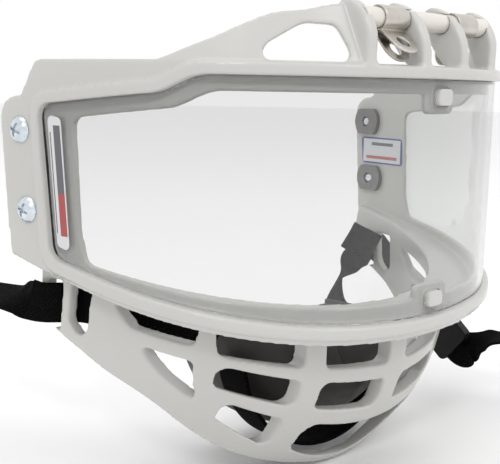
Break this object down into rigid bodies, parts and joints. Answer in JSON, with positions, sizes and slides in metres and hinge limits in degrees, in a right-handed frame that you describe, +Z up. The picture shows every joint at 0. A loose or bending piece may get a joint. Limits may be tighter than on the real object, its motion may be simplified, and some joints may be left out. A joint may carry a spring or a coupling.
{
  "type": "goalie mask",
  "caption": "Ice-hockey face mask: white moulded frame with a barred chin guard, clear wrap-around lens, hinge bar with steel clips, chin cup and webbing straps.",
  "frame": {"origin": "middle of the hinge bar's axis, which the helmet holds through two clips", "axes": "+X to the wearer's left, +Y to the rear, +Z up"},
  "size_m": [0.2358, 0.1833, 0.1813],
  "materials": {
    "shell": "glossy moulded off-white polycarbonate",
    "lens": "clear polished polycarbonate",
    "rod": "satin white rod",
    "clip": "brushed stainless sheet",
    "screw": "bright zinc plate",
    "nut": "plain grey steel",
    "cup": "black moulded cup",
    "foam": "charcoal closed-cell foam",
    "webbing": "black woven nylon webbing",
    "keeper": "black moulded nylon",
    "stud": "black press stud",
    "label": "printed strip with plain bands",
    "sticker": "white sticker with a blue border"
  },
  "bodies": {
    "root": {"visor_frame": "shell", "brow_guard": "shell", "chin_grille": "shell", "lens": "lens", "hinge_rod": "rod", "temple_screw_left_upper": "screw", "temple_screw_left_lower": "screw", "temple_screw_right_upper": "screw", "temple_screw_right_lower": "screw", "nut_plate_left_upper": "nut", "nut_plate_left_lower": "nut", "nut_plate_right_upper": "nut", "nut_plate_right_lower": "nut", "chin_cup": "cup", "chin_liner": "foam", "chin_webbing": "webbing", "chin_strap_left": "webbing", "chin_strap_right": "webbing", "strap_stud_left": "stud", "strap_stud_right": "stud", "lens_label": "label", "rating_sticker": "sticker"},
    "clip_left": {"hinge_clip_left": "clip"},
    "clip_right": {"hinge_clip_right": "clip"},
    "slider_left": {"strap_slider_left": "keeper"},
    "slider_right": {"strap_slider_right": "keeper"}
  },
  "joints": [
    {"name": "clip_left_swing", "type": "hinge", "parent": "root", "child": "clip_left", "pos_m": [0.0219, 0, 0], "axis": [-1, 0, 0], "range_deg": [-310, 0]},
    {"name": "clip_right_swing", "type": "hinge", "parent": "root", "child": "clip_right", "pos_m": [-0.0219, 0, 0], "axis": [-1, 0, 0], "range_deg": [0, 310]},
    {"name": "slider_left_slide", "type": "slide", "parent": "root", "child": "slider_left", "axis": [-0.008, -0.766, -0.6428], "range_m": [-0.03, 0]},
    {"name": "slider_right_slide", "type": "slide", "parent": "root", "child": "slider_right", "axis": [-0.0775, 0.9959, -0.0461], "range_m": [-0.022, 0.004]}
  ]
}
